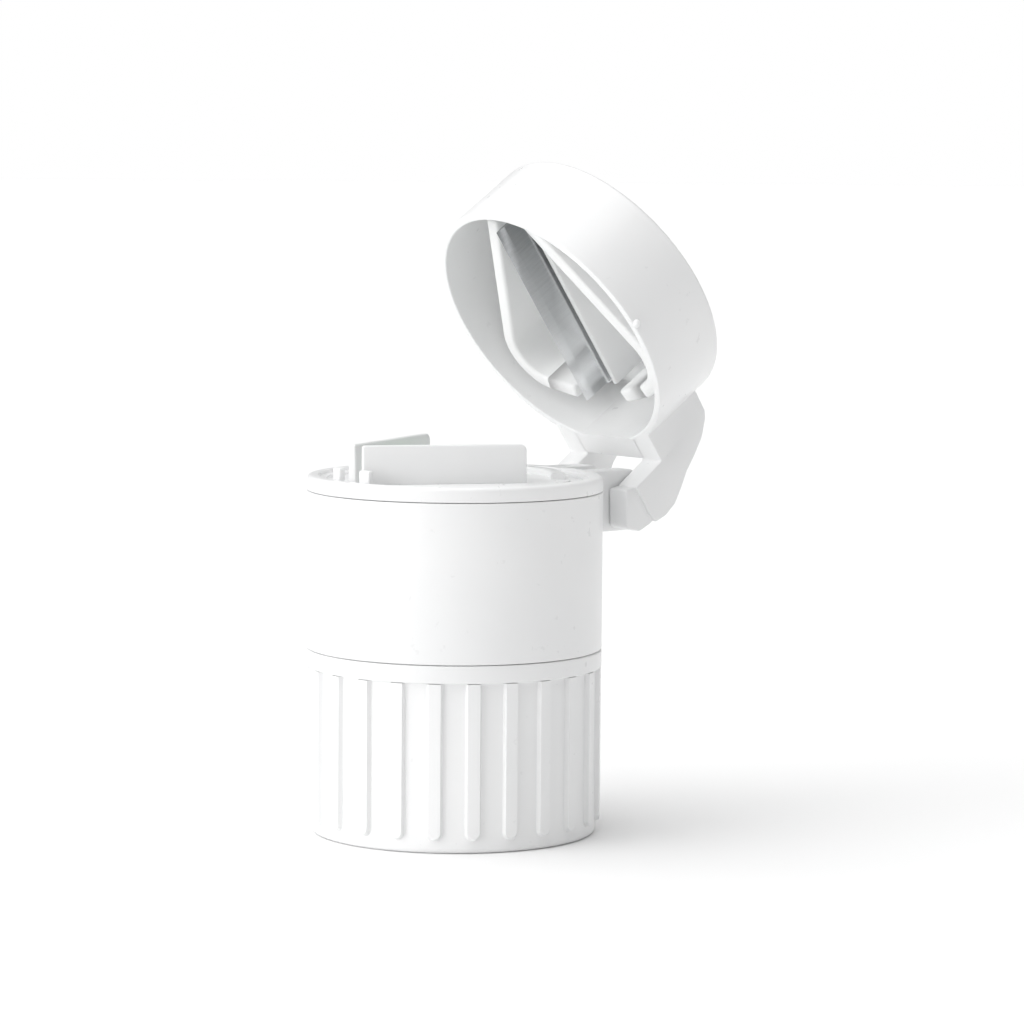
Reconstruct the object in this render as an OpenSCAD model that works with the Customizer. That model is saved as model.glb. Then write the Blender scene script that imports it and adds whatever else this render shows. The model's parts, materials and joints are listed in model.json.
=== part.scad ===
// Pill splitter: a round cutter with a hinged blade lid, on top of a storage
// body whose lower end screws into a ribbed grinding cup.
// Millimetres, +Z up, origin at the centre of the cup's bottom face.
// The hinge is at the back (+Y) and the lid opens away from the front (-Y).

/* [Body] */
// Outside diameter of the cup, the storage body and the table
body_d = 50; // [48:0.5:52]
// Height of the ribbed cup up to its seam with the storage body
cup_h = 31.4; // [31:0.2:33]
// Height of the smooth part of the storage body
sleeve_h = 26.7; // [24:0.1:30]
// Thickness of the table's rim on top of the storage body
rim_h = 2.5; // [2.2:0.1:3]
// Gap that shows as a seam between two stacked pieces
seam = 0.24; // [0.1:0.02:0.4]

/* [Cup ribs] */
// Number of grip ribs round the cup
rib_count = 24; // [12:1:30]
// Width of one rib
rib_w = 2.5; // [1.5:0.1:3]
// How far a rib stands out of the cup's wall
rib_depth = 0.8; // [0.4:0.1:1]
// Height of the plain band above the ribs
band_h = 3; // [2:0.5:5]

/* [Grinder thread] */
// Rise of the storage body in one turn
thread_lead = 6; // [5:0.5:7]
// Number of thread starts
thread_starts = 2; // [1:1:2]
// Turns that one thread start makes on the storage body
male_turns = 1; // [0.5:0.25:1]

/* [Lid] */
// Outside diameter of the lid
lid_d = 49.2; // [48.4:0.2:50]
// Height of the lid
lid_h = 16; // [14.5:0.5:17]
// Thickness of the lid's wall
lid_wall = 1.3; // [1.1:0.1:1.6]
// Opening angle in the pose that is modelled
lid_open = 55.4; // [0:0.1:110]

/* [Hinge] */
// Distance of the hinge axis behind the body's centre line
hinge_y = 32.2; // [31.8:0.1:33]
// Height of the hinge axis
hinge_z = 53.4; // [53:0.1:54]
// Radius of the hinge pin
pin_r = 1.5; // [1.2:0.1:1.6]

/* [Blade] */
// Length of the blade
blade_l = 35.5; // [30:0.5:36]
// Thickness of the blade
blade_t = 0.5; // [0.3:0.1:0.6]

/* [Hidden] */
$fn = 120;
eps = 0.01;
white = [0.94, 0.94, 0.93];
mint = [0.74, 0.88, 0.78];
steel = [0.72, 0.73, 0.75];
seal_grey = [0.86, 0.87, 0.87];

body_r = body_d / 2;
sleeve_top = cup_h + sleeve_h;
rim_top = sleeve_top + rim_h;

// cup
cup_wall_r = body_r - rib_depth;
cup_in_r = body_r - 2.4;
cup_floor = 2;
cup_foot_round = 1;
rib_bottom = 2.2;

// storage body: a wide sleeve, a shelf, and a tube that hangs down in the cup
sleeve_in_r = body_r - 2;
tube_r = cup_in_r - 1.5;
tube_in_r = tube_r - 1.5;
shelf_t = 2;
tube_bottom = 6.8;
tube_floor_t = 2;
storage_floor = tube_bottom + tube_floor_t;

// threads: the tube's thread runs between the turns of the cup's thread
thread_depth = 1.1;
thread_root_w = 1.6;
thread_crest_w = 0.7;
thread_bury = 0.5;
thread_steps = 40;
male_z = 20.6;
female_turns = 0.75;
thread_gap = thread_lead / thread_starts / 2;
female_z = male_z + thread_gap;

// grinding plates
plate_t = 1.2;
lower_plate_r = cup_in_r - 0.6;
upper_plate_r = tube_r - 0.4;
tooth_h = 1;
tooth_w = 2.2;
lower_teeth = 15;
upper_teeth = 12;

// o-rings
cup_ring_r = 0.75;
cup_ring_mid = tube_r + 0.45;
cup_ring_z = 29.4;
table_ring_r = 0.6;
table_ring_z = 54.6;
ring_groove = 0.1;

// table
table_floor = rim_top - 0.6;
table_recess_r = body_r - 2.1;
table_under = rim_top - 3.3;
skirt_r = sleeve_in_r - 0.4;
skirt_in_r = skirt_r - 1.7;
skirt_bottom = 51.6;
table_ring_mid = skirt_r - 0.3;
rim_round = 0.8;
kerb_in_r = 16.2;
kerb_out_r = 18.6;
kerb_half_w = 12;
kerb_h = 1.1;
post = [2.4, 1.2, 2.6];
post_front = -22.4;
post_turn = 10;
pad_seat = 1;

// pill holder and pad
holder_half = 26;
holder_slot = 1.5;
holder_wall = 1.5;
holder_front = -20.24;
holder_len = 27.8;
holder_end_round = 1.1;
holder_top = rim_top + 5.9;
pad_r = 8;
pad_y = -1.2;
pad_top = rim_top - 0.05;

// lid, given in its closed place and then opened about the hinge
lid_base = rim_top + 0.2;
lid_top = lid_base + lid_h;
lid_r = lid_d / 2;
lid_in_r = lid_r - lid_wall;
lid_round = 0.9;
lid_in_round = 1.2;
lid_roof = lid_top - 1.5;
arm_in = 7.4;
arm_out = 12.4;
arm_end_inset = 0.4;
arm_end_z = hinge_z + 0.3;
bore_r = pin_r + 0.05;
pin_half = 11.2;
pip_r = 0.75;
pip_turn = -6.2;

// hinge lugs of the table
lug_in = 3;
lug_out = 7.1;
lug_r = 3.5;
knuckle_r = 3;
body_gap = 0.5;

// guard walls and blade holder inside the lid
insert_t = 1;
insert_r = lid_in_r - lid_in_round - 0.1;
guard_t = 2.6;
guard_half = 27.6;
guard_bottom = lid_base + 3;
guard_front = [4.1, -21];
guard_straight = 28.5;
guard_bend_r = 7;
guard_bend = 105;
guard_back = 6.5;
rail_t = 2;
clamp_t = 1.4;
rail_bottom = lid_base + 6.2;
rail_front = -21.2;
rail_back = 15.6;
blade_edge = lid_base + 0.2;
blade_front = -20.6;
blade_bevel = 1.8;
blade_high = 9.6;
peg_r = 0.8;
peg_z = rail_bottom + 1.9;
peg_places = [-13, 7.5];

function arc(c, r, from, to, n = 8) =
    [for (i = [0:n]) let (a = from + (to - from) * i / n) [c[0] + r * cos(a), c[1] + r * sin(a)]];

// puts a side outline, given as [y, z] points, across x from one value to another
module across(from, to) {
    translate([from, 0, 0]) rotate([90, 0, 90]) linear_extrude(to - from) children();
}

// the lid's place when it is open
module opened() {
    translate([0, hinge_y, hinge_z]) rotate([-lid_open, 0, 0])
        translate([0, -hinge_y, -hinge_z]) children();
}

// both sides of the x = 0 plane
module both() {
    children();
    mirror([1, 0, 0]) children();
}

// one start of a thread: a trapezoid swept up a helix; out is 1 or -1
module thread(root_r, out, z0, turns, phase) {
    rings = ceil(thread_steps * turns);
    tip = root_r + out * thread_depth;
    root = root_r - out * thread_bury;
    fade = 3;
    points = [for (i = [0:rings]) let (
        a = phase + 360 * turns * i / rings,
        z = z0 + thread_lead * turns * i / rings,
        grow = min(1, (i + 0.4) / fade, (rings - i + 0.4) / fade),
        crest = root + (tip - root) * grow)
        for (p = [[root, -thread_root_w], [crest, -thread_crest_w],
                  [crest, thread_crest_w], [root, thread_root_w]])
            [p[0] * cos(a), p[0] * sin(a), z + p[1] / 2]];
    sides = [for (i = [0:rings - 1]) for (k = [0:3]) let (
        a = 4 * i + k,
        b = 4 * i + (k + 1) % 4)
        for (t = [[a, b, b + 4], [a, b + 4, a + 4]]) out < 0 ? [t[2], t[1], t[0]] : t];
    caps = [for (t = [[2, 1, 0], [3, 2, 0]]) out < 0 ? [t[2], t[1], t[0]] : t];
    far_caps = [for (t = caps) [for (k = [2:-1:0]) t[k] + 4 * rings]];
    polyhedron(points, concat(sides, caps, far_caps), convexity = 6);
}

module threads(root_r, out, z0, turns, phase) {
    for (s = [0:thread_starts - 1]) thread(root_r, out, z0, turns, phase + 360 * s / thread_starts);
}

// radial teeth with a triangular section, standing up from z = 0
module teeth(count, reach) {
    for (i = [0:count - 1]) rotate([0, 0, 360 * i / count]) translate([4, 0, 0])
        rotate([90, 0, 90]) linear_extrude(reach - 4)
            polygon([[-tooth_w / 2, -0.3], [tooth_w / 2, -0.3], [tooth_w / 2, 0],
                     [0, tooth_h], [-tooth_w / 2, 0]]);
}

module o_ring(middle_r, section_r, z) {
    translate([0, 0, z]) rotate_extrude() translate([middle_r, 0]) circle(section_r, $fn = 32);
}

module grinding_cup() {
    color(white) {
        difference() {
            union() {
                rotate_extrude() polygon(concat([[0, 0]],
                    arc([cup_wall_r - cup_foot_round, cup_foot_round], cup_foot_round, -90, 0),
                    [[cup_wall_r, cup_h - band_h], [body_r, cup_h - band_h],
                     [body_r, cup_h - seam / 2], [0, cup_h - seam / 2]]));
                intersection() {
                    for (i = [0:rib_count / 2 - 1]) rotate([0, 0, 360 * i / rib_count])
                        translate([-body_r - 1, -rib_w / 2, rib_bottom])
                            cube([body_d + 2, rib_w, cup_h - band_h - rib_bottom + eps]);
                    cylinder(r = body_r, h = cup_h);
                }
            }
            translate([0, 0, cup_floor]) cylinder(r = cup_in_r, h = cup_h);
        }
        threads(cup_in_r, -1, female_z, female_turns, 0);
    }
}

module lower_grinding_plate() {
    color(white) translate([0, 0, cup_floor]) {
        cylinder(r = lower_plate_r, h = plate_t);
        translate([0, 0, plate_t]) teeth(lower_teeth, lower_plate_r - 0.8);
    }
}

module powder_seal() {
    color(seal_grey) o_ring(cup_ring_mid, cup_ring_r, cup_ring_z);
}

module storage_body() {
    color(white) {
        difference() {
            rotate_extrude() polygon([[0, tube_bottom], [tube_r - 0.6, tube_bottom],
                [tube_r, tube_bottom + 0.6], [tube_r, cup_h + seam / 2],
                [body_r - 0.15, cup_h + seam / 2], [body_r, cup_h + seam / 2 + 0.15],
                [body_r, sleeve_top - seam / 2 - 0.15], [body_r - 0.15, sleeve_top - seam / 2],
                [sleeve_in_r + 0.3, sleeve_top - seam / 2], [sleeve_in_r, sleeve_top - seam / 2 - 0.3],
                [sleeve_in_r, cup_h + shelf_t], [tube_in_r, cup_h + shelf_t],
                [tube_in_r, storage_floor], [0, storage_floor]]);
            o_ring(cup_ring_mid, cup_ring_r + ring_groove, cup_ring_z);
        }
        threads(tube_r, 1, male_z, male_turns, 0);
    }
}

module upper_grinding_plate() {
    color(white) translate([0, 0, tube_bottom]) mirror([0, 0, 1]) {
        cylinder(r = upper_plate_r, h = plate_t);
        translate([0, 0, plate_t]) teeth(upper_teeth, upper_plate_r - 0.8);
    }
}

// side outline of a hinge lug, as [y, z]
module lug_side() {
    polygon(concat([[body_r - 1.6, sleeve_top + seam / 2], [body_r - 1.6, rim_top - 0.2],
        [hinge_y + 1, rim_top - 0.2], [hinge_y + lug_r, hinge_z + 3.6]],
        arc([hinge_y, hinge_z], lug_r, 0, -90),
        [[body_r + body_gap, hinge_z - lug_r], [body_r + body_gap, sleeve_top + seam / 2]]));
}

module cutter_table() {
    color(white) difference() {
        union() {
            rotate_extrude() polygon(concat(
                [[0, table_under], [skirt_in_r, table_under], [skirt_in_r, skirt_bottom],
                 [skirt_r - 0.4, skirt_bottom], [skirt_r, skirt_bottom + 0.4],
                 [skirt_r, sleeve_top + seam / 2], [body_r, sleeve_top + seam / 2]],
                arc([body_r - rim_round, rim_top - rim_round], rim_round, 0, 90),
                [[table_recess_r, rim_top], [table_recess_r, table_floor], [0, table_floor]]));
            // crescent kerb between the pad and the hinge
            intersection() {
                difference() {
                    translate([0, 0, table_floor - eps]) cylinder(r = kerb_out_r, h = kerb_h);
                    cylinder(r = kerb_in_r, h = rim_top + kerb_h);
                }
                translate([-kerb_half_w, 0, 0]) cube([2 * kerb_half_w, body_r, rim_top + kerb_h]);
            }
            // two low posts in front of the pill holder
            both() rotate([0, 0, post_turn])
                translate([-post[0] / 2, post_front, table_floor - eps]) cube(post);
            both() across(lug_in, lug_out) lug_side();
            translate([0, hinge_y, hinge_z]) rotate([0, 90, 0])
                cylinder(r = knuckle_r, h = 2 * lug_in + 1, center = true);
            across(-lug_in - 0.5, lug_in + 0.5)
                polygon([[body_r - 1.6, sleeve_top + seam / 2], [body_r - 1.6, rim_top - 1.2],
                    [body_r + 1.4, rim_top - 1.2], [hinge_y - 0.6, hinge_z + 1.6],
                    [hinge_y - 0.6, hinge_z - knuckle_r + 0.2], [body_r + body_gap, hinge_z - 2],
                    [body_r + body_gap, sleeve_top + seam / 2]]);
        }
        translate([0, hinge_y, hinge_z]) rotate([0, 90, 0])
            cylinder(r = pin_r, h = 2 * lug_out + 2, center = true, $fn = 48);
        o_ring(table_ring_mid, table_ring_r + ring_groove, table_ring_z);
        // seat that holds the soft pad
        translate([0, pad_y, table_floor - pad_seat]) cylinder(r = pad_r, h = 2 * pad_seat, $fn = 96);
    }
}

module table_seal() {
    color(seal_grey) o_ring(table_ring_mid, table_ring_r, table_ring_z);
}

// one wall of the V, with a round top corner at its hinge end
module holder_side() {
    translate([holder_slot / 2, holder_front, 0]) rotate([0, 0, -holder_half]) {
        translate([0, 0, table_floor])
            cube([holder_wall, holder_len - holder_end_round, holder_top - table_floor]);
        translate([0, 0, table_floor])
            cube([holder_wall, holder_len, holder_top - table_floor - holder_end_round]);
        translate([0, holder_len - holder_end_round, holder_top - holder_end_round]) rotate([0, 90, 0])
            cylinder(r = holder_end_round, h = holder_wall, $fn = 48);
    }
}

module pill_holder() {
    color(white) both() holder_side();
}

module soft_pad() {
    color(mint) translate([0, pad_y, 0]) rotate_extrude($fn = 96)
        polygon([[0, table_floor - pad_seat], [pad_r - 0.1, table_floor - pad_seat],
            [pad_r - 0.1, pad_top - 0.35], [pad_r - 0.45, pad_top], [0, pad_top]]);
}

module hinge_pin() {
    color(steel) translate([0, hinge_y, hinge_z]) rotate([0, 90, 0])
        cylinder(r = pin_r, h = 2 * pin_half - 0.4, center = true, $fn = 48);
}

// side outline of a lid arm in its closed place, as [y, z]
module arm_side() {
    polygon([[19, lid_base], [26.8, lid_base], [27.1, arm_end_z], [34.7, arm_end_z],
        [35.2, 56.4], [34.8, 59.2], [33.4, 61.8], [31.8, 64.4], [30.6, 67.2],
        [29, 70.4], [26.6, 73], [25.4, 73.6], [19, 73.8]]);
}

// side outline of the block that carries the pin below an arm, in its closed place, as [y, z]
module arm_end_side() {
    polygon([[27.2, arm_end_z + 0.3], [26.3, 52.2], [26.4, 51.8], [31.6, 48.4], [32.1, 48.4],
        [34.1, 50.3], [34.5, 53.1], [34.6, arm_end_z + 0.3]]);
}

module lid_shell() {
    color(white) opened() difference() {
        union() {
            rotate_extrude() polygon(concat([[0, lid_base], [lid_r, lid_base]],
                arc([lid_r - lid_round, lid_top - lid_round], lid_round, 0, 90), [[0, lid_top]]));
            both() across(arm_in, arm_out) arm_side();
            both() across(arm_in, arm_out - arm_end_inset) arm_end_side();
            // web that joins the two arms behind the lid's wall
            across(-arm_in - 0.5, arm_in + 0.5)
                polygon([[22, lid_base], [27, lid_base], [27, 70], [25.4, 72.6], [22, 72.8]]);
            for (a = [pip_turn, 180 - pip_turn]) rotate([0, 0, a])
                translate([lid_r - 0.1, 0, lid_base + pip_r]) sphere(r = pip_r, $fn = 32);
        }
        rotate_extrude() polygon(concat([[0, lid_base - 1], [lid_in_r, lid_base - 1]],
            arc([lid_in_r - lid_in_round, lid_roof - lid_in_round], lid_in_round, 0, 90),
            [[0, lid_roof]]));
        translate([0, hinge_y, hinge_z]) rotate([0, 90, 0])
            cylinder(r = bore_r, h = 2 * pin_half, center = true, $fn = 48);
    }
}

// one side of the teardrop guard: a straight wall, a round bend and a short wall at the back
module guard_side(low, high) {
    bend_c = [-guard_bend_r, guard_straight];
    out_r = guard_bend_r + guard_t / 2;
    in_r = guard_bend_r - guard_t / 2;
    far = guard_back * [-sin(guard_bend), cos(guard_bend)];
    round_out = arc(bend_c, out_r, 0, guard_bend, 14);
    round_in = arc(bend_c, in_r, guard_bend, 0, 14);
    translate([guard_front[0], guard_front[1], low]) rotate([0, 0, -guard_half])
        linear_extrude(high - low) polygon(concat([[-guard_t / 2, 0], [guard_t / 2, 0]], round_out,
            [round_out[14] + far, round_in[0] + far], round_in));
}

module guard_insert() {
    color(white) opened() difference() {
        union() {
            translate([0, 0, lid_roof - insert_t]) cylinder(r = insert_r, h = insert_t);
            both() guard_side(guard_bottom, lid_roof - insert_t / 2);
            translate([-blade_t / 2 - rail_t - 0.05, rail_front, rail_bottom])
                cube([rail_t, rail_back - rail_front, lid_roof - insert_t / 2 - rail_bottom]);
        }
        for (y = peg_places) translate([-blade_t / 2 - rail_t - 1, y, peg_z]) rotate([0, 90, 0])
            cylinder(r = peg_r + 0.05, h = rail_t + 2, $fn = 32);
    }
}

module blade_clamp() {
    color(white) opened() difference() {
        translate([blade_t / 2 + 0.05, rail_front, rail_bottom])
            cube([clamp_t, rail_back - rail_front, lid_roof - insert_t - rail_bottom - 0.05]);
        for (y = peg_places) translate([0, y, peg_z]) rotate([0, 90, 0])
            cylinder(r = peg_r + 0.05, h = clamp_t + 2, $fn = 32);
    }
}

module blade() {
    color(steel) opened() difference() {
        translate([0, blade_front, 0]) rotate([90, 0, 180])
            linear_extrude(blade_l) polygon([[0, blade_edge], [blade_t / 2, blade_edge + blade_bevel],
                [blade_t / 2, blade_edge + blade_high], [-blade_t / 2, blade_edge + blade_high],
                [-blade_t / 2, blade_edge + blade_bevel]]);
        for (y = peg_places) translate([-2, y, peg_z]) rotate([0, 90, 0])
            cylinder(r = peg_r + 0.1, h = 4, $fn = 32);
    }
}

module blade_pegs() {
    color(steel) opened() for (y = peg_places)
        translate([-blade_t / 2 - rail_t, y, peg_z]) rotate([0, 90, 0])
            cylinder(r = peg_r, h = rail_t + blade_t + clamp_t, $fn = 32);
}

grinding_cup();
lower_grinding_plate();
powder_seal();
storage_body();
upper_grinding_plate();
cutter_table();
table_seal();
pill_holder();
soft_pad();
hinge_pin();
lid_shell();
guard_insert();
blade_clamp();
blade();
blade_pegs();
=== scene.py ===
import json
from math import acos, atan2, cos, hypot, pi, radians, sin, tan

import bmesh
import bpy
from mathutils import Matrix, Vector


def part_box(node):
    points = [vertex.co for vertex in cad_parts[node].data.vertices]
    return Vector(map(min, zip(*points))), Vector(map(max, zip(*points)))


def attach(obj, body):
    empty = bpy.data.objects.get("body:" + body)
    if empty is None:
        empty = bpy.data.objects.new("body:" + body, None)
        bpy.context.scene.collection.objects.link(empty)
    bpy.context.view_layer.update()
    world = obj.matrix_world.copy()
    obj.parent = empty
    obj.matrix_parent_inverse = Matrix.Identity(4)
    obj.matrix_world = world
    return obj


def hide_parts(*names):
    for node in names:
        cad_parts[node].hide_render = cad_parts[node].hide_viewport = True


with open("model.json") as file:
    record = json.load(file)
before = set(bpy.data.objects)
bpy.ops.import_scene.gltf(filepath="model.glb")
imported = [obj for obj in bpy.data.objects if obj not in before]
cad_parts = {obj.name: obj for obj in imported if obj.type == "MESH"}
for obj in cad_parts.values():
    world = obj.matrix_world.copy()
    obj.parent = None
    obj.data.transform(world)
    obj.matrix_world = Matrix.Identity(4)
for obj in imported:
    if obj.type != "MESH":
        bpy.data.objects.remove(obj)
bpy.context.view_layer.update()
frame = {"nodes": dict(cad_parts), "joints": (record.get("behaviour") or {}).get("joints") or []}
mm = 0.001
scene = bpy.context.scene
scene.view_settings.view_transform = "Standard"
print("frame loaded:", len(frame["nodes"]), "nodes")

# shared sizes in millimetres, read from the frame
cupBox = [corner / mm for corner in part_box("grinding_cup")]
bodyBox = [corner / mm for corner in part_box("storage_body")]
holderBox = [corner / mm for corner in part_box("pill_holder")]
padBox = [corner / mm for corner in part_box("soft_pad")]
lidJoint = next(j for j in frame["joints"] if j["name"] == "lid_hinge")
hinge = Vector(lidJoint["pos_m"]) / mm
openAngle = radians(-lidJoint["range_deg"][0])
bodyR = bodyBox[1].x
cupTop = cupBox[1].z
seam = 0.12  # width of the fine seam under the sleeve, and of the one over it
sleeveFoot = cupTop + seam
sleeveTop = bodyBox[1].z
rimUnder = sleeveTop + seam
tableFloor = holderBox[0].z
rimTop = tableFloor + 0.6
lidBase = rimTop + 0.2


# shaping, all in millimetres until the piece is finished

# outline points from (a, b, radius) corners
def rounded(corners, segments=5):
    points = []
    for i, (a, b, radius) in enumerate(corners):
        here = Vector((a, b))
        if radius <= 0:
            points.append(here)
            continue
        toLast = Vector(corners[i - 1][:2]) - here
        toNext = Vector(corners[(i + 1) % len(corners)][:2]) - here
        u, v = toLast.normalized(), toNext.normalized()
        half = acos(max(-1.0, min(1.0, u.dot(v)))) / 2
        reach = min(radius / tan(half), toLast.length * 0.49, toNext.length * 0.49)
        centre = here + (u + v).normalized() * (reach / cos(half))
        start, end = here + u * reach - centre, here + v * reach - centre
        turn = atan2(start.x * end.y - start.y * end.x, start.dot(end))
        for k in range(segments + 1):
            t = turn * k / segments
            points.append(centre + Vector((start.x * cos(t) - start.y * sin(t),
                                           start.x * sin(t) + start.y * cos(t))))
    return points


# turns an outline of (r, z) points about the upright axis, all the way or by an angle
def spunShape(bm, outline, steps=192, angle=2 * pi, start=0.0):
    full = angle > 6.28
    turned = Matrix.Rotation(start, 3, "Z")
    verts = [bm.verts.new(turned @ Vector((p.x, 0, p.y))) for p in outline]
    edges = []
    for i, p in enumerate(outline):
        after = (i + 1) % len(outline)
        if p.x > 1e-6 or outline[after].x > 1e-6:
            edges.append(bm.edges.new((verts[i], verts[after])))
    geom = verts + edges
    if not full:
        geom = geom + [bm.faces.new(verts)]
    bmesh.ops.spin(bm, geom=geom, cent=(0, 0, 0), axis=(0, 0, 1), dvec=(0, 0, 0),
                   angle=angle, steps=steps, use_merge=full,
                   use_normal_flip=False, use_duplicate=False)


# extrudes an outline along an axis: "X" takes (y, z) points, "Y" (x, z) and "Z" (x, y)
def slab(bm, outline, across, low, high, edge=0.0, segments=3):
    place = {"X": lambda p, d: (d, p.x, p.y), "Y": lambda p, d: (p.x, d, p.y),
             "Z": lambda p, d: (p.x, p.y, d)}[across]
    verts = [bm.verts.new(place(p, low)) for p in outline]
    face = bm.faces.new(verts)
    grown = bmesh.ops.extrude_face_region(bm, geom=[face])["geom"]
    moved = [g for g in grown if isinstance(g, bmesh.types.BMVert)]
    bmesh.ops.translate(bm, verts=moved, vec=place(Vector((0, 0)), high - low))
    return softened(bm, verts + moved, edge, segments)


# closes and bevels one shell's sharp edges, and returns its vertices
def softened(bm, verts, edge, segments=3, sharpest=40):
    own = set(verts)
    edges = {e for v in verts for e in v.link_edges}
    bmesh.ops.holes_fill(bm, edges=[e for e in edges if e.is_boundary], sides=0)
    faces = list({f for v in verts for f in v.link_faces})
    bmesh.ops.recalc_face_normals(bm, faces=faces)
    if edge <= 0:
        return list(own)
    sharp = [e for e in edges if e.is_valid and len(e.link_faces) == 2
             and e.calc_face_angle(0) > radians(sharpest)]
    before = set(bm.verts)
    bmesh.ops.bevel(bm, geom=sharp, offset=edge, offset_type="OFFSET", segments=segments,
                    profile=0.5, affect="EDGES", material=-1, clamp_overlap=True)
    return [v for v in own if v.is_valid] + [v for v in bm.verts if v not in before]


# a box between two corners, given as ranges, with bevelled edges
def block(bm, xs, ys, zs, edge):
    made = bmesh.ops.create_cube(bm, size=1)["verts"]
    sizes = [b - a for a, b in (xs, ys, zs)]
    bmesh.ops.scale(bm, verts=made, vec=sizes)
    bmesh.ops.translate(bm, verts=made, vec=[(a + b) / 2 for a, b in (xs, ys, zs)])
    return softened(bm, made, edge)


# adds the same shapes on the other side of the x = 0 plane
def mirrored(bm):
    bmesh.ops.mirror(bm, geom=bm.verts[:] + bm.edges[:] + bm.faces[:], axis="X",
                     matrix=Matrix.Identity(4), merge_dist=0)


# one thread start: a trapezoid turned and lifted by spin's own step
def helix(bm, rootR, out, low, turns, phase, thread):
    tip, root = rootR + out * thread["depth"], rootR - out * thread["buried"]
    foot, crest = thread["rootWidth"] / 2, thread["crestWidth"] / 2
    turned = Matrix.Rotation(phase, 3, "Z")
    outline = rounded([(root, low - foot, 0), (tip, low - crest, 0.2),
                       (tip, low + crest, 0.2), (root, low + foot, 0)], 2)
    verts = [bm.verts.new(turned @ Vector((p.x, 0, p.y))) for p in outline]
    steps = int(96 * turns)
    before = set(bm.verts) - set(verts)
    bmesh.ops.spin(bm, geom=verts + [bm.faces.new(verts)], cent=(0, 0, 0), axis=(0, 0, 1),
                   dvec=(0, 0, thread["lead"] * turns / steps), angle=2 * pi * turns,
                   steps=steps, use_merge=False, use_normal_flip=False, use_duplicate=False)
    made = [v for v in bm.verts if v not in before]
    for v in made:  # both ends run out into the wall
        a = (atan2(v.co.y, v.co.x) - phase) % (2 * pi)
        along = (v.co.z - low) / (thread["lead"] * turns)
        fade = min(1.0, max(0.0, along / 0.12), max(0.0, (1 - along) / 0.12))
        r = hypot(v.co.x, v.co.y)
        keep = (root + (r - root) * (0.15 + 0.85 * fade)) / r
        v.co.x *= keep
        v.co.y *= keep
    softened(bm, made, 0)


# makes the object, with its place in its mesh, and hands it to its body
def finished(bm, name, body, material, nodes=(), opened=False, smooth=32):
    if opened:
        bmesh.ops.rotate(bm, verts=bm.verts, cent=hinge,
                         matrix=Matrix.Rotation(-openAngle, 3, "X"))
    bmesh.ops.scale(bm, verts=bm.verts, vec=(mm, mm, mm))
    bmesh.ops.remove_doubles(bm, verts=bm.verts, dist=2e-7)
    bmesh.ops.dissolve_degenerate(bm, edges=bm.edges, dist=1e-7)
    bmesh.ops.recalc_face_normals(bm, faces=bm.faces)
    mesh = bpy.data.meshes.new(name)
    bm.to_mesh(mesh)
    bm.free()
    mesh.shade_smooth()
    mesh.set_sharp_from_angle(angle=radians(smooth))
    piece = bpy.data.objects.new(name, mesh)
    scene.collection.objects.link(piece)
    piece.data.materials.append(material)
    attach(piece, body)
    if nodes:
        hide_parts(*nodes)
    print("piece:", name, len(mesh.polygons), "faces")
    return piece


# materials

def link(tree, fromNode, output, toNode, slotName):
    tree.links.new(fromNode.outputs[output], toNode.inputs[slotName])


def newMaterial(name):
    material = bpy.data.materials.new(name)
    material.use_nodes = True
    tree = material.node_tree
    return material, tree, tree.nodes["Principled BSDF"]


def noiseNode(tree, vector, scale, detail, rough=0.5):
    node = tree.nodes.new("ShaderNodeTexNoise")
    node.inputs["Scale"].default_value = scale
    node.inputs["Detail"].default_value = detail
    node.inputs["Roughness"].default_value = rough
    tree.links.new(vector, node.inputs["Vector"])
    return node


def rangeNode(tree, source, low, high, fromLow=0.3, fromHigh=0.7):
    node = tree.nodes.new("ShaderNodeMapRange")
    node.inputs["From Min"].default_value = fromLow
    node.inputs["From Max"].default_value = fromHigh
    node.inputs["To Min"].default_value = low
    node.inputs["To Max"].default_value = high
    tree.links.new(source, node.inputs["Value"])
    return node


def blendColours(tree, factor, first, second):
    node = tree.nodes.new("ShaderNodeMix")
    node.data_type = "RGBA"
    node.inputs[6].default_value = (*first, 1)
    node.inputs[7].default_value = (*second, 1)
    tree.links.new(factor, node.inputs["Factor"])
    return node


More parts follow.
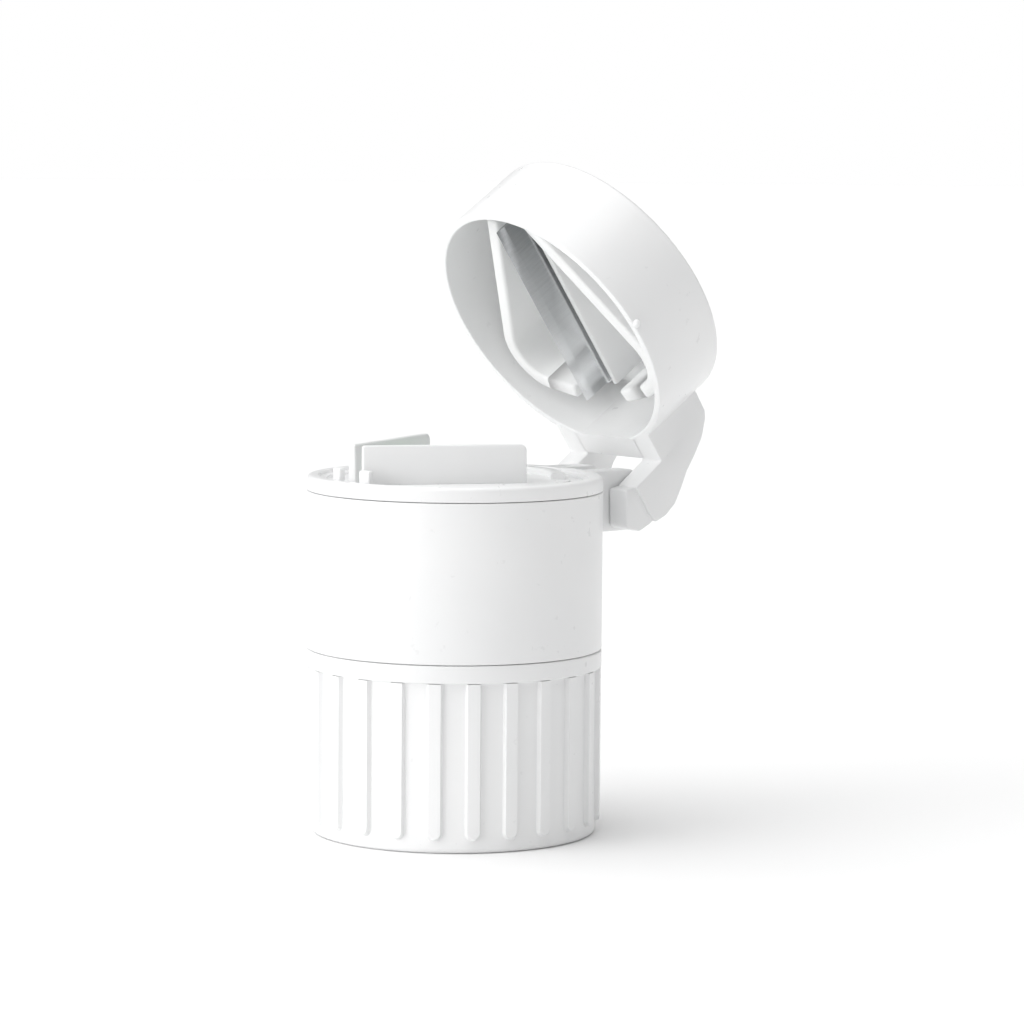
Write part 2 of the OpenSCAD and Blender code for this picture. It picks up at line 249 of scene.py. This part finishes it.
# injection-moulded plastic: faint cloudiness, fine orange peel and dust-size pits
def mouldedPlastic(name, look):
    material, tree, shader = newMaterial(name)
    coords = tree.nodes.new("ShaderNodeTexCoord").outputs["Object"]
    clouds = noiseNode(tree, coords, look["cloudScale"], 3)
    tone = blendColours(tree, rangeNode(tree, clouds.outputs["Fac"], 0, 1).outputs[0],
                        look["deep"], look["light"])
    link(tree, tone, 2, shader, "Base Color")
    sheenSpots = noiseNode(tree, coords, look["sheenScale"], 4, 0.6)
    gloss = rangeNode(tree, sheenSpots.outputs["Fac"], *look["roughness"])
    link(tree, gloss, 0, shader, "Roughness")
    peel = noiseNode(tree, coords, look["peelScale"], 2)
    pits = noiseNode(tree, coords, look["pitScale"], 5, 0.7)
    both = tree.nodes.new("ShaderNodeMath")
    both.operation = "MULTIPLY_ADD"
    both.inputs[1].default_value = 0.35
    link(tree, pits, "Fac", both, 0)
    link(tree, peel, "Fac", both, 2)
    bump = tree.nodes.new("ShaderNodeBump")
    bump.inputs["Strength"].default_value = look["bump"]
    bump.inputs["Distance"].default_value = look["bumpDepth"]
    link(tree, both, 0, bump, "Height")
    link(tree, bump, "Normal", shader, "Normal")
    shader.inputs["IOR"].default_value = look["ior"]
    shader.inputs["Coat Weight"].default_value = look["coat"]
    shader.inputs["Coat Roughness"].default_value = 0.12
    shader.inputs["Subsurface Weight"].default_value = look["glow"]
    shader.inputs["Subsurface Radius"].default_value = (1, 0.97, 0.94)
    shader.inputs["Subsurface Scale"].default_value = 0.0016
    return material


# rolled steel with fine lines one way, and a painted reflection: its colour turns paler further down its
# height
def brushedSteel(name, look):
    material, tree, shader = newMaterial(name)
    coords = tree.nodes.new("ShaderNodeTexCoord").outputs["Object"]
    straight = tree.nodes.new("ShaderNodeMapping")
    straight.inputs["Rotation"].default_value = (look["tilt"], 0, 0)
    tree.links.new(coords, straight.inputs["Vector"])
    drawn = tree.nodes.new("ShaderNodeMapping")
    drawn.inputs["Scale"].default_value = look["stretch"]
    link(tree, straight, 0, drawn, "Vector")
    lines = noiseNode(tree, drawn.outputs[0], look["lineScale"], 6, 0.65)
    stains = noiseNode(tree, coords, 140, 4)
    tone = blendColours(tree, rangeNode(tree, lines.outputs["Fac"], 0, 1).outputs[0],
                        look["deep"], look["light"])
    # painted reflection: below a given height the lined tone blends into a pale colour, which stands in
    # for reflected light
    place = tree.nodes.new("ShaderNodeSeparateXYZ")
    tree.links.new(coords, place.inputs["Vector"])
    along = rangeNode(tree, place.outputs["Z"], 0, 1, *look["paintedReflectionSpan"])
    paintedReflection = blendColours(tree, along.outputs[0], (0, 0, 0), look["paintedReflectionColour"])
    link(tree, tone, 2, paintedReflection, 6)
    link(tree, paintedReflection, 2, shader, "Base Color")
    rough = rangeNode(tree, stains.outputs["Fac"], *look["roughness"])
    link(tree, rough, 0, shader, "Roughness")
    bump = tree.nodes.new("ShaderNodeBump")
    bump.inputs["Strength"].default_value = look["bump"]
    bump.inputs["Distance"].default_value = 0.00002
    link(tree, lines, "Fac", bump, "Height")
    link(tree, bump, "Normal", shader, "Normal")
    shader.inputs["Metallic"].default_value = 1
    return material


whiteShell = mouldedPlastic("whiteShell", {
    "deep": (0.88, 0.885, 0.888), "light": (0.915, 0.917, 0.917), "cloudScale": 45,
    "sheenScale": 420, "roughness": (0.27, 0.36), "peelScale": 900, "pitScale": 4200,
    "bump": 0.12, "bumpDepth": 0.00004, "ior": 1.5, "coat": 0.08, "glow": 0.0})
whiteInner = mouldedPlastic("whiteInner", {
    "deep": (0.88, 0.885, 0.888), "light": (0.915, 0.917, 0.915), "cloudScale": 60,
    "sheenScale": 500, "roughness": (0.34, 0.46), "peelScale": 1300, "pitScale": 5200,
    "bump": 0.16, "bumpDepth": 0.00004, "ior": 1.5, "coat": 0.0, "glow": 0.0})
mintRubber = mouldedPlastic("mintRubber", {
    "deep": (0.42, 0.66, 0.47), "light": (0.52, 0.74, 0.56), "cloudScale": 160,
    "sheenScale": 700, "roughness": (0.58, 0.74), "peelScale": 2200, "pitScale": 7000,
    "bump": 0.35, "bumpDepth": 0.00006, "ior": 1.43, "coat": 0.0, "glow": 0.15})
sealRubber = mouldedPlastic("sealRubber", {
    "deep": (0.60, 0.61, 0.61), "light": (0.70, 0.71, 0.71), "cloudScale": 200,
    "sheenScale": 800, "roughness": (0.5, 0.62), "peelScale": 2600, "pitScale": 7000,
    "bump": 0.25, "bumpDepth": 0.00005, "ior": 1.42, "coat": 0.0, "glow": 0.1})
# the blade's colour is painted from the dark lined tone at its raised front end to near white at its
# hinge end, a painted reflection
bladeSteel = brushedSteel("bladeSteel", {
    "tilt": openAngle, "stretch": (1, 1, 0.05), "lineScale": 2600, "bump": 0.03,
    "deep": (0.40, 0.41, 0.42), "light": (0.50, 0.51, 0.52), "roughness": (0.13, 0.2),
    "paintedReflectionColour": (0.9, 0.91, 0.92), "paintedReflectionSpan": (0.1, 0.07)})
# the pins get a milder painted reflection, a little paler lower down
pinSteel = brushedSteel("pinSteel", {
    "tilt": 0, "stretch": (0.05, 1, 1), "lineScale": 2200, "bump": 0.15,
    "deep": (0.42, 0.43, 0.45), "light": (0.58, 0.59, 0.61), "roughness": (0.24, 0.36),
    "paintedReflectionColour": (0.62, 0.63, 0.65), "paintedReflectionSpan": (0.12, 0.05)})
print("materials made")


# grinding cup

cup = {"wallR": bodyR - 0.8, "innerR": bodyR - 2.4, "floor": 2.0, "bandHeight": 3.0,
       "ribs": 24, "ribWidth": 2.5, "ribStart": 2.2, "ribEdge": 0.26, "stepsPerRib": 38,
       "footHollow": 0.45, "footRing": 20.4, "footRound": 1.0}
thread = {"depth": 1.05, "buried": 0.5, "rootWidth": 1.6, "crestWidth": 0.7, "lead": 6.0,
          "low": 20.6, "starts": 2}


# how far the wall stands out at a place: a rib with a round lower end
def ribRise(x, y, z, s):
    pitch = 2 * pi / s["ribs"]
    a = (atan2(y, x) + pitch / 2) % pitch - pitch / 2
    beside = abs(a) * s["wallR"]
    below = max(0.0, s["ribStart"] + s["ribWidth"] / 2 - z)
    t = (s["ribWidth"] / 2 - hypot(beside, below)) / s["ribEdge"]
    t = max(0.0, min(1.0, t))
    return (bodyR - 0.01 - s["wallR"]) * t * t * (3 - 2 * t)


def grindingCup(s):
    bm = bmesh.new()
    bandFoot = cupTop - s["bandHeight"]
    # close rows for the ribs' round ends, then wide ones up the wall
    rows = [1.1 + 0.22 * i for i in range(14)] + [4.6, 7, 11, 15, 19, 23, 26, 27.6]
    outline = rounded([(0, s["footHollow"], 0), (s["footRing"], s["footHollow"], 0.3),
                       (s["footRing"] + 0.5, 0, 0.25), (s["wallR"], 0, s["footRound"]),
                       (s["wallR"], 5, 0)], 6)[:-1]
    outline += [Vector((s["wallR"], z)) for z in rows]
    outline += rounded([(s["wallR"], bandFoot - 0.05, 0), (s["wallR"], bandFoot, 0),
                        (bodyR, bandFoot + 0.05, 0.22), (bodyR, cupTop, 0.3),
                        (s["innerR"], cupTop, 0.35), (s["innerR"], s["floor"], 1.0),
                        (0, s["floor"], 0)], 4)
    spunShape(bm, outline, s["ribs"] * s["stepsPerRib"])
    for v in bm.verts:
        x, y, z = v.co
        r = hypot(x, y)
        if r > s["wallR"] - 0.02 and z < bandFoot - 0.001 and z > 1.02:
            k = (s["wallR"] + ribRise(x, y, z, s)) / r
            v.co.x, v.co.y = x * k, y * k
    for i in range(thread["starts"]):  # they lie between the storage body's threads
        between = thread["low"] + thread["lead"] / thread["starts"] / 2
        helix(bm, s["innerR"], -1, between, 0.75, 2 * pi * i / thread["starts"], thread)
    finished(bm, "grindingCup", "cup", whiteShell, ["grinding_cup"])


grindingCup(cup)


# storage body

storage = {"sleeveInR": bodyR - 2, "tubeR": cup["innerR"] - 1.5, "tubeWall": 1.5,
           "tubeBottom": bodyBox[0].z, "floorT": 2.0, "shelfT": 2.0, "edge": 0.22,
           "ringZ": 29.4, "grooveHalf": 0.85, "grooveDepth": 0.4}


def storageBody(s):
    bm = bmesh.new()
    inner = s["tubeR"] - s["tubeWall"]
    shelf = sleeveFoot - 0.12 + s["shelfT"]
    floor = s["tubeBottom"] + s["floorT"]
    groove = s["tubeR"] - s["grooveDepth"]
    spunShape(bm, rounded([
        (0, s["tubeBottom"], 0), (s["tubeR"], s["tubeBottom"], 0.6),
        (s["tubeR"], s["ringZ"] - s["grooveHalf"], 0.1), (groove, s["ringZ"] - s["grooveHalf"], 0.2),
        (groove, s["ringZ"] + s["grooveHalf"], 0.2), (s["tubeR"], s["ringZ"] + s["grooveHalf"], 0.1),
        (s["tubeR"], sleeveFoot, 0.2), (bodyR, sleeveFoot, s["edge"]),
        (bodyR, sleeveTop, s["edge"]), (s["sleeveInR"], sleeveTop, 0.3),
        (s["sleeveInR"], shelf, 0.8), (inner, shelf, 0.6), (inner, floor, 1.2), (0, floor, 0)], 5), 240)
    for i in range(thread["starts"]):
        helix(bm, s["tubeR"], 1, thread["low"], 1.0, 2 * pi * i / thread["starts"], thread)
    finished(bm, "storageBody", "storage", whiteShell, ["storage_body"])


storageBody(storage)


# cutter table with its hinge lugs

table = {"skirtR": bodyR - 2.4, "skirtWall": 1.7, "skirtBottom": 51.6, "under": 57.35,
         "recessR": bodyR - 2.1, "rimRound": 0.75, "ringZ": 54.6,
         "grooveOut": 21.6, "grooveIn": 19.4, "grooveDepth": 0.5,
         "kerbIn": 16.2, "kerbOut": 18.6, "kerbHigh": 1.05, "kerbHalf": 43,
         "postSize": (2.4, 1.2, 2.8), "postY": -21.8, "postRise": 1.15, "postTurn": 10,
         "lugIn": 3.0, "lugOut": 7.1, "lugR": 3.5, "knuckleR": 3.0, "bodyGap": 0.55}


def cutterTable(s):
    bm = bmesh.new()
    skirtIn = s["skirtR"] - s["skirtWall"]
    spunShape(bm, rounded([
        (0, s["under"], 0), (skirtIn, s["under"], 0.5), (skirtIn, s["skirtBottom"], 0.25),
        (s["skirtR"], s["skirtBottom"], 0.4), (s["skirtR"], s["ringZ"] - 0.65, 0.1),
        (s["skirtR"] - 0.8, s["ringZ"] - 0.65, 0.2), (s["skirtR"] - 0.8, s["ringZ"] + 0.65, 0.2),
        (s["skirtR"], s["ringZ"] + 0.65, 0.1), (s["skirtR"], rimUnder, 0.15),
        (bodyR, rimUnder, 0.22), (bodyR, rimTop, s["rimRound"]), (s["recessR"], rimTop, 0.3),
        (s["recessR"], tableFloor, 0.25), (s["grooveOut"], tableFloor, 0.25),
        (s["grooveOut"], tableFloor - s["grooveDepth"], 0.2),
        (s["grooveIn"], tableFloor - s["grooveDepth"], 0.2), (s["grooveIn"], tableFloor, 0.25),
        (0, tableFloor, 0)], 5), 240)
    # crescent kerb between the pad and the hinge
    outline = rounded([(s["kerbIn"], tableFloor - 0.2, 0), (s["kerbOut"], tableFloor - 0.2, 0),
                       (s["kerbOut"], tableFloor + s["kerbHigh"], 0.5),
                       (s["kerbIn"], tableFloor + s["kerbHigh"], 0.5)], 4)
    before = set(bm.verts)
    spunShape(bm, outline, 48, radians(2 * s["kerbHalf"]), radians(90 - s["kerbHalf"]))
    softened(bm, [v for v in bm.verts if v not in before], 0)
    # two posts in front of the pill holder
    for side in (-1, 1):
        made = bmesh.ops.create_cube(bm, size=1)["verts"]
        bmesh.ops.scale(bm, verts=made, vec=s["postSize"])
        bmesh.ops.translate(bm, verts=made, vec=(0, s["postY"], tableFloor + s["postRise"]))
        bmesh.ops.rotate(bm, verts=made, cent=(0, 0, 0),
                         matrix=Matrix.Rotation(radians(s["postTurn"] * side), 3, "Z"))
        softened(bm, made, 0.35, 3)
    hingeLugs(bm, s)
    finished(bm, "cutterTable", "table", whiteShell, ["cutter_table"])


# two lugs behind the body, with a web and a barrel between them
def hingeLugs(bm, s):
    y, z, r = hinge.y, hinge.z, s["lugR"]
    back = bodyR + s["bodyGap"]
    side = rounded([(bodyR - 1.6, rimUnder + 0.1, 0), (back, rimUnder + 0.1, 0), (back, z - r, 0.4),
                    (y + r, z - r, r), (y + r, z + 3.6, 1.2), (y + 1, rimTop - 0.2, 1.2),
                    (bodyR - 1.6, rimTop - 0.2, 0)], 8)
    for low, high in ((s["lugIn"], s["lugOut"]), (-s["lugOut"], -s["lugIn"])):
        slab(bm, side, "X", low, high, 0.3)
    web = rounded([(bodyR - 1.6, rimUnder + 0.1, 0), (back, rimUnder + 0.1, 0), (back, z - 2, 0.3),
                   (y - 0.6, z - s["knuckleR"] + 0.2, 0.3), (y - 0.6, z + 1.6, 0.3),
                   (bodyR + 1.4, rimTop - 1.2, 0.4), (bodyR - 1.6, rimTop - 1.2, 0)], 4)
    slab(bm, web, "X", -s["lugIn"] - 0.5, s["lugIn"] + 0.5)
    acrossHinge = Matrix.Translation((0, y, z)) @ Matrix.Rotation(pi / 2, 4, "Y")
    barrel = bmesh.ops.create_cone(bm, cap_ends=True, segments=64, radius1=s["knuckleR"],
                                   radius2=s["knuckleR"], depth=2 * s["lugIn"] + 1,
                                   matrix=acrossHinge)
    softened(bm, barrel["verts"], 0)


cutterTable(table)


# pill holder and soft pad

holder = {"half": 26, "slot": 1.5, "wall": 1.5, "front": -20.24, "length": 27.8,
          "draft": 0.14, "endRound": 1.1, "edge": 0.28}
pad = {"gap": 0.02, "lipWide": 1.6, "lipDrop": 0.12, "crown": 0.05}


def pillHolder(s):
    bm = bmesh.new()
    top = holderBox[1].z - 0.01
    side = rounded([(0, tableFloor - 0.1, 0), (s["length"], tableFloor - 0.1, 0),
                    (s["length"], top, s["endRound"]), (0, top, 0.5)], 6)
    slab(bm, side, "X", 0, s["wall"])
    for v in bm.verts:  # the walls get thinner towards the top
        up = (v.co.z - tableFloor) / (top - tableFloor)
        v.co.x += (s["wall"] / 2 - v.co.x) / s["wall"] * 2 * s["draft"] * up
    softened(bm, bm.verts[:], s["edge"], 3)
    bmesh.ops.rotate(bm, verts=bm.verts, cent=(0, 0, 0),
                     matrix=Matrix.Rotation(radians(-s["half"]), 3, "Z"))
    bmesh.ops.translate(bm, verts=bm.verts, vec=(s["slot"] / 2, s["front"], 0))
    mirrored(bm)
    finished(bm, "pillHolder", "table", whiteInner, ["pill_holder"])


# a thin disc, a little higher in the middle
def softPad(s):
    bm = bmesh.new()
    middle = (padBox[0] + padBox[1]) / 2
    r, low, top = (padBox[1].x - padBox[0].x) / 2 - s["gap"], padBox[0].z + 0.1, padBox[1].z
    spunShape(bm, rounded([(0, low, 0), (r, low, 0.1), (r, top - s["lipDrop"], 0.3),
                           (r - s["lipWide"], top - s["crown"], 1.5), (0, top, 0)], 6), 128)
    bmesh.ops.translate(bm, verts=bm.verts, vec=(0, middle.y, 0))
    finished(bm, "softPad", "table", mintRubber, ["soft_pad"])


pillHolder(holder)
softPad(pad)


# lid shell with its arms

lid = {"r": bodyR - 0.4, "wall": 1.3, "height": 16.0, "roof": 1.5, "round": 0.9, "innerRound": 1.2,
       "armIn": 7.4, "armOut": 12.4, "armFoot": 0.3, "endInset": 0.4, "edge": 0.45,
       "pipR": 0.75, "pipTurn": 6.2, "sprueR": 1.5, "sprueDrop": 0.12}
lidTop = lidBase + lid["height"]
lidRoof = lidTop - lid["roof"]
lidInner = lid["r"] - lid["wall"]


# the roots of the arms and of the web end inside the lid's round wall
def rootedInWall(made, before):
    for v in made:
        if v.co.y < before:
            v.co.y = ((lidInner + 0.45) ** 2 - v.co.x ** 2) ** 0.5


def lidShell(s):
    bm = bmesh.new()
    spunShape(bm, rounded([
        (0, lidTop - s["sprueDrop"], 0), (s["sprueR"], lidTop - s["sprueDrop"], 0.2),
        (s["sprueR"] + 0.3, lidTop, 0.2), (s["r"], lidTop, s["round"]),
        (s["r"], lidBase, 0.28), (lidInner, lidBase, 0.28), (lidInner, lidRoof, s["innerRound"]),
        (0, lidRoof, 0)], 8), 240)
    foot, under = hinge.z + s["armFoot"], lidBase - 0.02
    arm = rounded([(20, under, 0), (26.8, under, 0.5), (27.1, foot, 0.25), (34.7, foot, 0.7),
                   (35.2, 56.4, 2), (34.8, 59.2, 2), (33.4, 61.8, 2), (31.8, 64.4, 3), (30.6, 67.2, 3),
                   (29, 70.4, 2.5), (26.6, 73, 1.5), (25.4, 73.6, 1), (20, 73.8, 0)], 5)
    for low, high in ((s["armIn"], s["armOut"]), (-s["armOut"], -s["armIn"])):
        rootedInWall(slab(bm, arm, "X", low, high, s["edge"]), 21.5)
    # block under each arm that takes the pin, set in a little from the arm's face
    end = rounded([(27.3, foot + 0.4, 0), (26.35, 52.0, 0.5), (31.85, 48.35, 0.9), (34.1, 50.4, 1.2),
                   (34.5, 53.1, 0.6), (34.4, foot + 0.4, 0)], 5)
    for side in (-1, 1):
        low, high = sorted((side * s["armIn"], side * (s["armOut"] - s["endInset"])))
        slab(bm, end, "X", low, high, 0.3)
        pip = bmesh.ops.create_uvsphere(bm, u_segments=24, v_segments=16, radius=s["pipR"])["verts"]
        bmesh.ops.translate(bm, verts=pip, vec=(side * (s["r"] - 0.1), 0, lidBase + s["pipR"]))
        bmesh.ops.rotate(bm, verts=pip, cent=(0, 0, 0),
                         matrix=Matrix.Rotation(radians(-side * s["pipTurn"]), 3, "Z"))
    web = rounded([(22.2, under, 0), (27, under, 0.7), (27, 70, 2), (25.4, 72.6, 1), (22.2, 72.8, 0)], 5)
    rootedInWall(slab(bm, web, "X", -s["armIn"] - 0.5, s["armIn"] + 0.5), 22.6)
    finished(bm, "lidShell", "lid", whiteShell, ["lid_shell"], opened=True)


lidShell(lid)


# guard insert, blade clamp and blade

guard = {"plateR": lidInner - 1.3, "plateT": 1.0, "wall": 2.6, "half": 27.6, "bottom": lidBase + 3,
         "front": (4.1, -21.0), "straight": 28.5, "bendR": 7.0, "bend": 105, "back": 6.5, "edge": 0.6}
rail = {"bottom": lidBase + 6.2, "front": -21.2, "back": 15.6, "thick": 2.0, "clamp": 1.4,
        "groove": 0.9, "gap": 0.05}
blade = {"front": -20.6, "length": 35.5, "half": 0.25, "edge": lidBase + 0.2, "bevel": 1.8,
         "high": 9.6}


# one wall goes straight back, bends inwards and ends behind the blade; the other mirrors it
def guardWalls(bm, s):
    across = Vector((cos(radians(s["half"])), -sin(radians(s["half"])), 0))
    along = Vector((sin(radians(s["half"])), cos(radians(s["half"])), 0))
    start = Vector((*s["front"], 0))
    low, high = s["bottom"], lidRoof - s["plateT"] / 2
    half = s["wall"] / 2
    verts = [bm.verts.new(start + across * d + Vector((0, 0, z)))
             for d, z in ((-half, low), (half, low), (half, high), (-half, high))]
    grown = bmesh.ops.extrude_face_region(bm, geom=[bm.faces.new(verts)])["geom"]
    moved = [g for g in grown if isinstance(g, bmesh.types.BMVert)]
    bmesh.ops.translate(bm, verts=moved, vec=along * s["straight"])
    ahead = [f for f in bm.faces if all(v in moved for v in f.verts)]
    centre = start + along * s["straight"] - across * s["bendR"]
    geom = ahead + moved + list({e for f in ahead for e in f.edges})
    bmesh.ops.spin(bm, geom=geom, cent=centre, axis=(0, 0, 1), dvec=(0, 0, 0),
                   angle=radians(s["bend"]), steps=36, use_merge=False,
                   use_normal_flip=False, use_duplicate=False)
    turn = Matrix.Rotation(radians(s["bend"]), 3, "Z")
    last = centre + turn @ (start + along * s["straight"] - centre)
    ahead = [f for f in bm.faces
             if all(abs((v.co - last).dot(turn @ along)) < 1e-3 for v in f.verts)]
    grown = bmesh.ops.extrude_face_region(bm, geom=ahead)["geom"]
    moved = [g for g in grown if isinstance(g, bmesh.types.BMVert)]
    bmesh.ops.translate(bm, verts=moved, vec=turn @ along * s["back"])
    bmesh.ops.remove_doubles(bm, verts=bm.verts, dist=1e-4)
    softened(bm, bm.verts[:], s["edge"], 3, 50)
    mirrored(bm)


def guardInsert(s):
    bm = bmesh.new()
    guardWalls(bm, s)
    spunShape(bm, rounded([(0, lidRoof - s["plateT"], 0), (s["plateR"], lidRoof - s["plateT"], 0.4),
                           (s["plateR"], lidRoof - 0.02, 0.1), (0, lidRoof - 0.02, 0)], 4), 192)
    left = -blade["half"] - rail["gap"]
    block(bm, (left - rail["thick"], left), (rail["front"], rail["back"]),
          (rail["bottom"], lidRoof - 0.5), 0.3)
    finished(bm, "guardInsert", "lid", whiteInner, ["guard_insert"], opened=True)


# the loose side of the blade's rail, with a fine groove beside the steel
def bladeClamp(s):
    bm = bmesh.new()
    left = blade["half"] + s["gap"]
    right, grooveSide = left + s["clamp"], left + 0.5
    top, grooveTop = lidRoof - guard["plateT"] - s["gap"], s["bottom"] + s["groove"]
    outline = rounded([(left, top, 0), (left, grooveTop, 0), (grooveSide, grooveTop, 0),
                       (grooveSide, s["bottom"], 0.2), (right, s["bottom"], 0.4),
                       (right, top, 0)], 4)
    slab(bm, outline, "Y", s["front"], s["back"], 0)
    finished(bm, "bladeClamp", "lid", whiteInner, ["blade_clamp"], opened=True)


# a flat strip, ground from both sides to its edge
def steelBlade(s):
    bm = bmesh.new()
    half, ground, top = s["half"], s["edge"] + s["bevel"], s["edge"] + s["high"]
    outline = [Vector(p) for p in ((0, s["edge"]), (half, ground), (half, top),
                                   (-half, top), (-half, ground))]
    slab(bm, outline, "Y", s["front"], s["front"] + s["length"])
    finished(bm, "steelBlade", "lid", bladeSteel, ["blade"], opened=True, smooth=4)


guardInsert(guard)
bladeClamp(rail)
steelBlade(blade)


# carried-over nodes keep their CAD shape and get their finish

def refinish(node, material):
    for slot in frame["nodes"][node].material_slots:
        slot.material = material


for node, material in (("lower_grinding_plate", whiteInner), ("upper_grinding_plate", whiteInner),
                       ("powder_seal", sealRubber), ("table_seal", sealRubber),
                       ("hinge_pin", pinSteel), ("blade_pegs", pinSteel)):
    refinish(node, material)
print("carried-over nodes refinished")


# floor, lights and camera

# a wide pale disc under the object
def paleFloor():
    bm = bmesh.new()
    bmesh.ops.create_circle(bm, cap_ends=True, segments=96, radius=6)
    mesh = bpy.data.meshes.new("floor")
    bm.to_mesh(mesh)
    bm.free()
    floor = bpy.data.objects.new("floor", mesh)
    scene.collection.objects.link(floor)
    material, tree, shader = newMaterial("paleFloor")
    shader.inputs["Base Color"].default_value = (0.95, 0.95, 0.95, 1)
    shader.inputs["Roughness"].default_value = 0.9
    shader.inputs["Specular IOR Level"].default_value = 0.0
    mesh.materials.append(material)


# a soft distant light; azimuth is measured like the camera's, from the front
def sun(name, azimuth, height, strength, softness):
    data = bpy.data.lights.new(name, "SUN")
    data.energy = strength
    data.angle = radians(softness)
    lamp = bpy.data.objects.new(name, data)
    a, h = radians(azimuth), radians(height)
    towards = Vector((sin(a) * cos(h), -cos(a) * cos(h), sin(h)))
    lamp.rotation_euler = towards.to_track_quat("Z", "Y").to_euler()
    scene.collection.objects.link(lamp)


# an even dome for the light, seen by the camera as plain white
def paleWorld(ambient):
    world = bpy.data.worlds.new("studio")
    scene.world = world
    world.use_nodes = True
    tree = world.node_tree
    fill = tree.nodes["Background"]
    fill.inputs["Color"].default_value = (1, 1, 1, 1)
    fill.inputs["Strength"].default_value = ambient
    seen = tree.nodes.new("ShaderNodeBackground")
    seen.inputs["Strength"].default_value = 1.0
    seen.inputs["Color"].default_value = (1, 1, 1, 1)
    path = tree.nodes.new("ShaderNodeLightPath")
    mix = tree.nodes.new("ShaderNodeMixShader")
    link(tree, path, "Is Camera Ray", mix, 0)
    link(tree, fill, 0, mix, 1)
    link(tree, seen, 0, mix, 2)
    link(tree, mix, 0, tree.nodes["World Output"], "Surface")


view = {"azimuth": 51.5, "down": 5.585, "roll": 0.434, "distance": 0.7, "aimHeight": 0.05429,
        "sideways": 0.00964, "lens": 145.67}


# the camera aims at a height on the object's axis, and is turned and rolled about it
def frontCamera(s):
    data = bpy.data.cameras.new("camera")
    data.lens = s["lens"]
    data.sensor_width = 36
    data.clip_start = 0.01
    camera = bpy.data.objects.new("camera", data)
    a, p, r = radians(s["azimuth"]), radians(s["down"]), radians(s["roll"])
    back = Vector((sin(a) * cos(p), -cos(a) * cos(p), sin(p)))
    right = Vector((cos(a), sin(a), 0))
    up = back.cross(right)
    turnedRight = right * cos(r) + up * sin(r)
    turnedUp = up * cos(r) - right * sin(r)
    spot = Vector((0, 0, s["aimHeight"])) + back * s["distance"] + right * s["sideways"]
    camera.matrix_world = Matrix((
        (turnedRight.x, turnedUp.x, back.x, spot.x), (turnedRight.y, turnedUp.y, back.y, spot.y),
        (turnedRight.z, turnedUp.z, back.z, spot.z), (0, 0, 0, 1)))
    scene.collection.objects.link(camera)
    scene.camera = camera


paleFloor()
paleWorld(0.27)
sun("topLight", view["azimuth"] - 80, 72, 2.4, 90)
sun("lowFill", view["azimuth"] - 62, 5, 1.95, 50)
sun("sideLight", view["azimuth"] + 105, 12, 0.28, 50)
frontCamera(view)
print("stage set")
